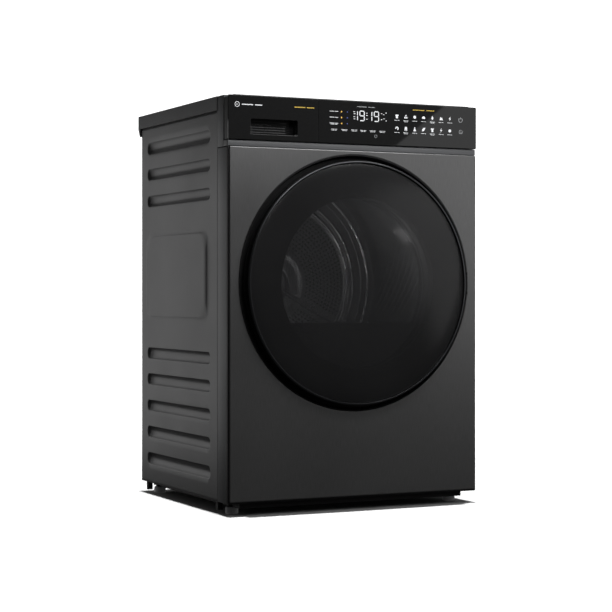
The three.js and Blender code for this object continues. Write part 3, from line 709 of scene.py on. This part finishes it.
def water_tank():
    low, high = span("tank_front")
    pocket = rounded_rect(*GRIP, 3)
    rim = rounded_rect(low.x, high.x, low.z, high.z, 2.5)
    face = plate("tank_front_face", [rim, opening(pocket)], 0, 3.8, 1.0, 0.3, steps=4)
    dress(face, "water_tank", FASCIA, ("tank_front",))

    x0, x1, z0, z1 = GRIP
    bm = bmesh.new()
    outer = rounded_rect(x0 - 2, x1 + 2, z0 - 2, z1 + 2, 4)
    add_plate(bm, [outer, opening(rounded_rect(x0, x1, z0, z1, 3))], 0.7, 21.5, 0.3, 0.1)
    add_plate(bm, [outer], 21.6, 24, 0.1, 0.3)
    for k in range(5):                      # shallow grips across the pocket's floor
        z = z0 + 5 + 5.2 * k
        add_block(bm, (x0 + 4, 20.6, z - 0.8), (x1 - 4, 21.9, z + 0.8), 0.4)
    liner = finish_mesh("tank_finger_pocket", bm)
    dress(liner, "water_tank", POCKET, ())

    carrier_rim = rounded_rect(low.x + 2, high.x - 0.7, low.z + 0.3, high.z - 2, 1.5)
    carrier_hole = opening(rounded_rect(x0 - 3, x1 + 3, z0 - 3, z1 + 3, 3))
    carrier = plate("tank_front_carrier", [carrier_rim, carrier_hole], 3.9, high.y, 0.3, 0.6)
    dress(carrier, "water_tank", BLACK, ())

    # The tank's printed logo and brand print glow as painted light.
    mark = Marks("tank_front_marks", WHITE_MARK_LIT_AND_PAINTED_GLOW, "water_tank")
    mark.ring(-276.4, 848.5, 5.6, 1.2, 0, 360, 28)
    mark.bar(-276.4, 848.5, 4.4, 1.2)
    mark.caption(-243, 848.8, 46, height=2.0)
    mark.done()
    gold = Marks("tank_gold_marks", GOLD_MARK_PAINTED_GLOW, "water_tank")
    gold.caption(-123.5, 848.5, 45, height=1.9)
    gold.done()


# ---------------------------------------------------------------- door and its recess


def door():
    front = span("door_ring")[0].y
    r = DOOR_R
    ring = lathe("door_trim_ring", [
        (r - 4.8, front, 0.4), (r - 2, front, 1.2), (r, front + 3, 1.5), (r, 9, 0.8), (r - 2.6, 9, 0.6),
        (r - 2.6, -12.6), (r - 4.8, -12.6),
    ], steps=192)
    dress(ring, "door", TRIM, ("door_ring",))

    crown = GLASS_FRONT
    glass = lathe("door_outer_glass", [
        (0, crown), (60, crown + 0.2), (120, crown + 0.9), (180, crown + 2.2), (220, crown + 3.8),
        (240, crown + 5.2), (r - 5.6, crown + 7.6, 0.8), (r - 5.6, -13, 0.8), (235, -15.6), (180, -17.8),
        (90, -19.6), (0, -20),
    ], steps=192, smooth=40)
    dress(glass, "door", SMOKED, ("door_glass",))

    w = WINDOW_R
    rim = lathe("door_frame_ring", [
        (w, -12.4, 1.5), (r - 3, -12.4, 0.5), (r - 3, 7.6, 0.8), (r - 6, 7.6), (r - 6, -9), (w + 3, -9),
        (w + 3, 7.6), (w, 7.6, 0.8),
    ])
    dress(rim, "door", BLACK, ("door_frame",))

    bowl = lathe("door_glass_bowl", [
        (0, 34), (136, 34, 6), (150, 30, 4), (163, -6, 3), (163, -8), (w - 0.6, -8, 0.6),
        (w - 0.6, -4.2, 0.6), (167, -4.2, 3), (155, 31, 5), (140, 38, 6), (0, 38),
    ], smooth=40)
    dress(bowl, "door", CLEAR, ("door_bowl",))

    dish = lathe("door_recess_dish", [
        (269.8, 0.6, 0.5), (266.5, 16, 3), (198, 18.5, 3), (187.5, 41.5, 0.8), (190.5, 41.5, 0.8),
        (201, 21.3), (269.5, 18.8), (275.2, 14), (275.2, 3.8), (271.6, 3.8), (271.6, 0.6, 0.5),
    ], steps=192)
    dress(dish, "cabinet", BLACK, ("door_recess_ring",))

    seal = lathe("door_seal_lip", [
        (200, 17.4), (201, 12.6, 1.2), (203.5, 12.2, 1.2), (206, 13.6, 1.2), (209, 17.2),
    ])
    dress(seal, "cabinet", RUBBER, ("door_seal",))


# ---------------------------------------------------------------- loading mouth, filter and drum


LOADING_R = 185


def mouth():
    low, high = span("front_bulkhead")
    flat = span("lint_filter")[1].z - 3
    drop = CENTRE[1] - flat

    def loading(inset=0.0):
        """A circle cut off level with the lint filter's top."""
        r = LOADING_R - inset
        level = -drop + inset
        lowest = math.asin(level / r)
        steps = 90
        turn = [lowest + (math.pi - 2 * lowest) * k / steps for k in range(steps + 1)]
        arc = [(r * math.cos(a), CENTRE[1] + r * math.sin(a)) for a in turn]
        left, right = arc[-1], arc[0]
        return arc + [(left[0] + (right[0] - left[0]) * k / 12, left[1]) for k in range(1, 12)]

    rim = rounded_rect(low.x, high.x, low.z, high.z, 60, 10)
    plate_front = plate("mouth_bulkhead", [rim, opening(loading)], low.y, low.y + 3.2, 1.0, 0.2)
    dress(plate_front, "cabinet", DARK_GREY, ("front_bulkhead",))
    rear = plate("mouth_bulkhead_rear", [rim, opening(loading)], high.y - 3, high.y, 0.2, 1.0)
    dress(rear, "cabinet", DARK_GREY, ())

    low, high = span("lint_filter")
    bm = bmesh.new()
    for x0, x1 in ((low.x, -3), (3, high.x)):
        window = rounded_rect(x0 + 9, x1 - 6, low.z + 9, high.z - 17, 4)
        rim = rounded_rect(x0, x1, low.z, high.z - 6, 3)
        add_plate(bm, [rim, opening(window)], low.y, high.y, 0.6, 0.6)
        add_plate(bm, [rounded_rect(x0 + 8, x1 - 5, low.z + 8, high.z - 16, 4)], 50.4, 51.0, 0.1, 0.1)
        for k in range(1, 6):
            x = x0 + 9 + (x1 - x0 - 15) * k / 6
            add_block(bm, (x - 0.7, low.y + 1, low.z + 8), (x + 0.7, low.y + 3, high.z - 16), 0.3)
    add_block(bm, (-3.2, low.y + 0.5, low.z + 2), (3.2, high.y - 0.5, high.z - 8), 0.5)
    add_block(bm, (-30, low.y, high.z - 8), (30, high.y, high.z), 1.2)
    dress(finish_mesh("lint_filter_frame", bm), "lint_filter", GREY, ("lint_filter",))


SHELL_T = 1.6                               # thickness of the drum's sheet
SHELL_STEP = 4                              # the drum's wall stands this far in from its front hoop
LIFTER_ROOT_R = 269.5
WALL_BEADS = (274, 196, 118, 40)            # distances of the wall's beads from the drum's back
BEAD_RISE = 1.6
REAR_BEAD_HIGHLIGHTS = (                              # bright rings over the rear wall's beads, a painted highlight: name, radius, height in front of the drum's back, half width
    ("outer", 248, 18.2, 2.6), ("middle", 212, 9.2, 1.5), ("inner", 196.5, 10.2, 1.5),
)


def drum():
    low, high = span("drum_shell")
    r = high.x
    front, back = low.y, high.y
    wall_r = r - SHELL_STEP
    outer = [
        (262, front, 0.5), (r - 3, front, 2), (r, front + 4, 2), (r, front + 40, 3),
        (wall_r, front + 46, 3),
    ]
    inner = [
        (r - SHELL_T, front + 41), (r - SHELL_T, front + 5), (wall_r, front + SHELL_T),
        (262, front + SHELL_T),
    ]
    wall = []
    for distance in WALL_BEADS:
        depth = back - distance
        wall += [(wall_r, depth - 7), (wall_r + BEAD_RISE, depth, 3), (wall_r, depth + 7)]
    wall.append((wall_r, back))
    lining = [(point[0] - SHELL_T, *point[1:]) for point in reversed(wall)]
    section = outer + wall + lining + [(wall_r - SHELL_T, front + 47)] + inner
    shell = lathe("drum_shell_sheet", section, steps=160)
    dress(shell, "drum", DRUM_STEEL, ("drum_shell",))

    b = back
    rear_wall = lathe("drum_rear_wall", [
        (0, b + 5), (40, b + 5, 3), (46, b - 2, 3), (70, b - 2, 3), (80, b - 6, 3), (190, b - 6, 3),
        (194, b - 10, 1.5), (199, b - 10, 1.5), (203, b - 3, 2), (206, b - 3, 2), (210, b - 9, 1.5),
        (214, b - 9, 1.5), (220, b - 1, 3), (240, b - 1, 3), (245, b - 18, 2), (251, b - 18, 2),
        (256, b + 0.4, 2), (wall_r, b + 0.4), (wall_r, b + 2.2), (200, b + 2.2), (80, b + 2.6),
        (60, b + 7.8), (0, b + 7.8),
    ], steps=160)
    dress(rear_wall, "drum", DRUM_STEEL, ("drum_back",))
    # Rings in a lighter steel over the rear wall's beads paint their highlights.
    for name, radius, height, width in REAR_BEAD_HIGHLIGHTS:
        level = b - height
        bead = lathe(f"drum_rear_bead_highlight_{name}", [
            (radius - width, level + 0.4, 0.5), (radius - width * 0.6, level - 1.0, 1.0),
            (radius + width * 0.6, level - 1.0, 1.0), (radius + width, level + 0.4, 0.5),
        ], steps=160)
        dress(bead, "drum", BEAD_STEEL_PAINTED_HIGHLIGHT, ())
    painted_hole_shade(b)
    for k in range(3):
        spoke(k, b)
        lifter(k)
        slanted_ribs(k, r - 5.2)


def painted_hole_shade(back):
    """Black discs just in front of the drum's rear wall, a painted shade that stands for its air holes, in
    rings between the hub and the double bead.
    """
    hole_r, pitch = 2.1, 9.5
    face = back - 6.15                      # just in front of the wall
    rib_half_width = 13
    rim = [(hole_r * math.cos(a), hole_r * math.sin(a)) for a in angles(8)]
    bm = bmesh.new()
    for ring in range(11):
        radius = 92 + 9.2 * ring
        count = round(2 * math.pi * radius / pitch)
        for k in range(count):
            angle = 2 * math.pi * (k + 0.5 * (ring % 2)) / count
            from_rib = 60 - abs((math.degrees(angle) + 30) % 120 - 60)
            if from_rib < math.degrees(rib_half_width / radius):
                continue
            x = radius * math.cos(angle)
            z = CENTRE[1] + radius * math.sin(angle)
            skin(bm, [[bm.verts.new((x + u, y, z + v)) for u, v in rim] for y in (face, face + 0.4)])
    dress(finish_mesh("drum_rear_hole_painted_shade", bm), "drum", BLACK, ())


def spoke(index, back):
    """A pressed radial rib on the drum's rear wall."""
    angle = math.radians(-30 + 120 * index)
    along = Vector((math.cos(angle), 0, math.sin(angle)))
    across = Vector((-math.sin(angle), 0, math.cos(angle)))
    start, length, half_width, steps = 30, 150, 7, 12
    profile = ((-1, 1.5), (-0.55, -2.6), (0.55, -2.6), (1, 1.5))
    bm = bmesh.new()
    sections = []
    for k in range(steps + 1):
        t = k / steps
        half = half_width * math.sin(math.pi * min(max(t, 0.04), 0.96)) ** 0.4
        row = []
        for u, w in profile:
            spine = Vector((0, back - 6 + w, CENTRE[1])) + along * (start + length * t)
            row.append(bm.verts.new(spine + across * half * u))
        sections.append(row)
    skin(bm, sections)
    dress(finish_mesh(f"drum_rear_rib_{index + 1}", bm), "drum", DRUM_STEEL, ())


def slanted_ribs(index, wall_r):
    """A panel of ribs pressed into the drum's wall between two lifters, aslant to its axis."""
    ribs, pitch, steps = 8, 24, 24
    reach, sweep_angle = 150, 38            # each rib's length along the axis and its turn about it
    profile = ((-4.5, -0.6), (-2.4, 2.2), (0, 3.2), (2.4, 2.2), (4.5, -0.6))
    bm = bmesh.new()
    for k in range(ribs):
        sections = []
        for step in range(steps + 1):
            t = step / steps
            turn = math.radians(120 * index + 3 + sweep_angle * (t - 0.5))
            depth = 385 - pitch * k - reach * (t - 0.5)
            swell = math.sin(math.pi * min(max(t, 0.02), 0.98)) ** 0.35
            row = []
            for u, h in profile:
                a = turn + u * 0.7 / wall_r
                r = wall_r - h * swell
                row.append(bm.verts.new((r * math.cos(a), depth + u * 0.7, CENTRE[1] + r * math.sin(a))))
            sections.append(row)
        skin(bm, sections)
    dress(finish_mesh(f"drum_wall_ribs_{index + 1}", bm, 50), "drum", DRUM_STEEL, ())


def lifter(index):
    """A vane on the drum's wall, tapered at both ends, with slanting ribs on its flanks."""
    node = f"drum_lifter_{index + 1}"
    low, high = span(node)
    angle = math.radians(90 + 120 * index)
    inward = Vector((-math.cos(angle), 0, -math.sin(angle)))
    across = Vector((-math.sin(angle), 0, math.cos(angle)))
    base = inward * -LIFTER_ROOT_R + Vector((0, 0, CENTRE[1]))
    flank = [(-29, 0.2), (-20, 5), (-14, 14), (-10.5, 27), (-8.5, 42), (-5, 50)]
    profile = flank + [(0, 52.2)] + [(-u, h) for u, h in reversed(flank)]
    ridge_height, ridge_pitch = 0.9, 15
    steps = 60
    bm = bmesh.new()
    sections = []
    for k in range(steps + 1):
        t = k / steps
        depth = low.y + 0.6 + (high.y - low.y - 1.2) * t
        taper = 0.55 + 0.45 * ease(min(t, 1 - t) * 6)
        row = []
        for u, h in profile:
            wave = math.sin((depth + 0.9 * h) / ridge_pitch * 2 * math.pi)
            ridge = ridge_height * max(0.0, wave) if 8 < h < 48 else 0.0
            lift = Vector((0, depth, 0)) + inward * (h * taper)
            row.append(bm.verts.new(base + lift + across * (u + math.copysign(ridge, u) if u else 0.0)))
        sections.append(row)
    skin(bm, sections)
    dress(finish_mesh(f"{node}_vane", bm, 50), "drum", GREY, (node,))


# ---------------------------------------------------------------- rear and floor side


def screw(bm, x, z, depth, r):
    """A pan-head screw that faces backwards."""
    dome = ((r, depth), (r, depth + 1.0), (r * 0.75, depth + 1.9), (r * 0.35, depth + 2.1))
    skin(bm, [[bm.verts.new((x + radius * math.cos(a), w, z + radius * math.sin(a))) for a in angles(14)]
              for radius, w in dome])


VENT_X = (95, 185)                          # middles of the two columns of slots on each side
VENT_Z = [118 + 15 * row for row in range(7)]
VENT_HALF = (38, 2.5)
TOP_SCREWS_X = (-180, -60, 60, 180)
SIDE_SCREWS_X = (-281, 281)
SIDE_SCREWS_Z = [66 + 146 * k for k in range(6)]
COVER_SCREW_R = 222.5


def rear():
    low, high = span("back_panel")
    rim = rounded_rect(low.x, high.x, low.z, high.z, 4)
    slots = []
    u, v = VENT_HALF
    for row, height in enumerate(VENT_Z):
        for side in (-1, 1):
            for k, column in enumerate(VENT_X):
                x = side * column + 0.07 * row              # points in line would upset the fill
                z = height + 0.05 * (2 * k + side)
                slots.append(opening(rounded_rect(x - u, x + u, z - v, z + v, 2.4, 4)))
    gland_low, gland_high = span("cord_gland")
    around_gland = (gland_low.x - 1, gland_high.x + 1, gland_low.z - 1, gland_high.z + 1)
    slots.append(opening(rounded_rect(*around_gland, 2, 3)))
    sheet = plate("back_sheet", [rim, *slots], low.y, high.y, 0.2, 0.4, steps=2)
    dress(sheet, "cabinet", ZINC, ("back_panel",))

    ribs = bmesh.new()
    for x in (-262, 262):
        add_block(ribs, (x - 9, high.y - 0.3, 250), (x + 9, high.y + 3.2, 790), 1.6, 3)
    for z in (232, 738):
        add_block(ribs, (-230, high.y - 0.3, z - 8), (230, high.y + 3.2, z + 8), 1.6, 3)
    dress(finish_mesh("back_sheet_ribs", ribs), "cabinet", ZINC, ())

    screws = bmesh.new()
    for x in SIDE_SCREWS_X:
        for z in SIDE_SCREWS_Z:
            screw(screws, x, z, high.y + 0.05, 3.6)
    for x in TOP_SCREWS_X:
        screw(screws, x, high.z - 8, high.y + 0.05, 3.6)
    for k in range(8):
        a = math.radians(22.5 + 45 * k)
        screw(screws, COVER_SCREW_R * math.cos(a), CENTRE[1] + COVER_SCREW_R * math.sin(a), 519.7, 2.6)
    dress(finish_mesh("back_screws", screws), "cabinet", STEEL, ())

    cover_rear = span("rear_air_cover")[1].y
    cover = lathe("rear_cover_dish", [
        (0, cover_rear), (60, cover_rear), (66, cover_rear - 4, 2), (90, cover_rear - 4, 2),
        (96, cover_rear, 3), (190, cover_rear, 8), (216, 536, 8), (219.5, 519.8, 2), (226, 519.8, 0.6),
        (226, 518, 0.4), (218, 518), (213, 534), (192, 543.6), (0, 543.6),
    ], steps=160)
    dress(cover, "cabinet", ZINC, ("rear_air_cover",))

    low, high = gland_low, gland_high
    cx, cz = (low.x + high.x) / 2, (low.z + high.z) / 2
    rim = rounded_rect(low.x, high.x, low.z, high.z, 3)
    hole = opening(rounded_rect(cx - 6, cx + 6, cz - 6, cz + 6, 2))
    bm = bmesh.new()
    add_plate(bm, [rim, hole], low.y + 6, high.y, 0.2, 0.8)
    add_plate(bm, [rim], low.y, low.y + 5.9, 0.2, 0.2)
    dress(finish_mesh("mains_gland", bm), "cabinet", BLACK, ("cord_gland",))


FLUTES = 12                                 # grip flutes round each foot's pad
PAD_RINGS = (                               # how far each ring of the pad stands in, and its height
    (1.2, 0.0), (0.3, 0.4), (0, 1.4), (0, 12.6), (0.4, 13.8), (1.4, 14.4),
)


def feet():
    for word in ("front_left", "front_right", "rear_left", "rear_right"):
        node = f"foot_{word}"
        low, high = span(node)
        cx, cy = (low.x + high.x) / 2, (low.y + high.y) / 2
        r = (high.x - low.x) / 2
        bm = bmesh.new()
        rings = []
        for inset, z in PAD_RINGS:
            ring = []
            for a in angles(FLUTES * 10):
                groove = 1.4 * max(0.0, math.cos(a * FLUTES)) ** 2 if 1 < z < 13 else 0.4
                reach = r - inset - groove
                ring.append(bm.verts.new((cx + reach * math.cos(a), cy + reach * math.sin(a), z)))
            rings.append(ring)
        skin(bm, rings)
        dress(finish_mesh(f"{node}_pad", bm), node, FOOT, (node,))
        thread = [(0, 14.5)]
        for k in range(12):
            thread += [(4.2, 14.6 + 1.6 * k), (4.9, 15.4 + 1.6 * k)]
        thread += [(4.2, 33.9), (0, 33.9)]
        dress(lathe(f"{node}_stem", thread, (cx, cy), 24, "z"), node, STEEL, ())


# ---------------------------------------------------------------- studio

SKY_FLOOR = 0.03                            # the room's own level
SKY_GLOWS = [                               # name, direction, half-angle in degrees, strength
    ("front_right_glow", (0.5, -0.866, 0.4), 48, 0.045),
    ("rear_glow", (0.75, 0.66, 0.35), 75, 0.5),
]


def area_light(name, location, target, size, power, spin=0.0):
    """A softbox at location that faces target, turned by spin degrees in its own plane."""
    data = bpy.data.lights.new(name, "AREA")
    data.shape = "RECTANGLE"
    data.size, data.size_y = size
    data.energy = power
    lamp = link(name, data)
    lamp.location = location
    facing = (Vector(target) - Vector(location)).to_track_quat("-Z", "Y")
    lamp.rotation_euler = (facing @ Quaternion((0, 0, 1), math.radians(spin))).to_euler()
    lamp.visible_camera = False


def floor_sun(floor):
    """Parallel light straight down on the floor alone: its shadow is the machine's footprint."""
    data = bpy.data.lights.new("floor_sun", "SUN")
    data.energy = 15
    data.angle = math.radians(1.5)
    lamp = link("floor_sun", data)
    lamp.location = (0, 0, 3)
    only_floor = bpy.data.collections.new("floor_only")
    only_floor.objects.link(floor)
    lamp.light_linking.receiver_collection = only_floor


def sweep():
    """A white floor that runs back and curves up into the backdrop."""
    front, flat, curve, top, half_width = -7, 3.5, 2.5, 9.0, 9
    heading = math.radians(-25.8)           # away from the camera
    back = Vector((-math.sin(heading), math.cos(heading), 0))
    across = Vector((math.cos(heading), math.sin(heading), 0))
    section = [(front, 0.0), (flat, 0.0)]
    for degrees in range(6, 91, 6):
        a = math.radians(degrees)
        section.append((flat + curve * math.sin(a), curve - curve * math.cos(a)))
    section.append((flat + curve, top))
    bm = bmesh.new()
    rows = []
    for distance, height in section:
        centre = back * distance + Vector((0, 0, height))
        rows.append([bm.verts.new(centre + across * side) for side in (-half_width, half_width)])
    for a, b in zip(rows, rows[1:]):
        bm.faces.new((a[0], a[1], b[1], b[0]))
    mesh = bpy.data.meshes.new("studio_sweep")
    bm.to_mesh(mesh)
    bm.free()
    mesh.shade_smooth()
    obj = link("studio_sweep", mesh)

    lit_between = (0.9, 2.2)                # from here outwards the floor lights itself, to stay white
    nodes = Nodes("studio_white")
    reach = add_node(nodes.tree, "VectorMath")
    reach.operation = "LENGTH"
    nodes.link(nodes.position, reach.inputs[0])
    far = nodes.spread(reach.outputs["Value"], *lit_between, "From")
    nodes.feed(Emission_Color=nodes.ramp(far, [(0, (0, 0, 0)), (1, (1, 1, 1))]))
    nodes.set(Base_Color=(0.25, 0.25, 0.25, 1), Roughness=1, Specular_IOR_Level=0, Emission_Strength=1)
    mesh.materials.append(nodes.material)
    obj.visible_glossy = False
    obj.visible_diffuse = False
    return obj


def sky():
    """A dark room with two soft glows, one off the front right corner and one behind the machine.

    The camera itself sees plain white past the backdrop.
    """
    world = bpy.data.worlds.new("studio_world")
    bpy.context.scene.world = world
    world.use_nodes = True
    tree = world.node_tree
    coordinates = add_node(tree, "TexCoord")
    room = tree.nodes["Background"]
    level = None
    for name, towards, wide, strength in SKY_GLOWS:
        dot = add_node(tree, "VectorMath")
        dot.operation = "DOT_PRODUCT"
        dot.name = name
        dot.inputs[1].default_value = Vector(towards).normalized()
        tree.links.new(coordinates.outputs["Generated"], dot.inputs[0])
        edge = math.cos(math.radians(wide))
        glow_range = add_node(tree, "MapRange", From_Min=edge, From_Max=1.0, To_Max=strength)
        glow_range.interpolation_type = "SMOOTHSTEP"
        tree.links.new(dot.outputs["Value"], glow_range.inputs["Value"])
        total = add_node(tree, "Math")
        total.inputs[1].default_value = SKY_FLOOR
        tree.links.new(glow_range.outputs["Result"], total.inputs[0])
        if level:
            tree.links.new(level, total.inputs[1])
        level = total.outputs["Value"]
    tree.links.new(level, room.inputs["Strength"])
    room.inputs["Color"].default_value = (1, 1, 1, 1)
    seen = add_node(tree, "Background", Color=(1, 1, 1, 1))
    path = add_node(tree, "LightPath")
    mix = add_node(tree, "MixShader")
    tree.links.new(path.outputs["Is Camera Ray"], mix.inputs["Fac"])
    tree.links.new(room.outputs["Background"], mix.inputs[1])
    tree.links.new(seen.outputs["Background"], mix.inputs[2])
    tree.links.new(mix.outputs["Shader"], tree.nodes["World Output"].inputs["Surface"])


def studio():
    bpy.context.scene.view_settings.view_transform = "Standard"
    sky()
    floor = sweep()
    side = span("side_panel_left")[0].x * MM
    area_light("side_card", (side - 0.55, 0.80, 0.46), (side, 0.1, 0.46), (1.1, 0.93), 2.25)
    area_light("top_strip", (0.12, -0.85, 1.2), (0.0, FRONT_Y, 0.6), (1.0, 0.2), 5.0)
    area_light("upper_left", (-0.5, -2.4, 1.9), (0, FRONT_Y, 0.6), (1.2, 1.2), 7.5)
    area_light("right_card", (1.64, FRONT_Y - 1.6, 0.872), (1.64, FRONT_Y, 0.872), (1.3, 0.9), 2.8, 37)
    area_light("front_top", (0.3, -1.9, 2.0), (0, FRONT_Y, 0.6), (1.6, 0.8), 3.5)
    area_light("drum_lamp", place(10, 100, 385), place(270, 180, 560), (0.06, 0.06), 0.42)
    floor_sun(floor)


def camera():
    """A level camera to the left of the machine, solved from the cabinet's corners in the picture."""
    data = bpy.data.cameras.new("camera")
    data.lens = 100.95
    data.sensor_width = 36.0
    data.shift_y = -0.02165
    data.clip_end = 60
    obj = link("camera", data)
    obj.location = (-1.6814, FRONT_Y - 3.2349, 0.461)
    obj.rotation_euler = (math.radians(90), 0, math.radians(-25.773))
    bpy.context.scene.camera = obj


camera()
dress_kept_nodes()
cabinet()
worktop()
fascia()
water_tank()
door()
mouth()
drum()
rear()
feet()
studio()
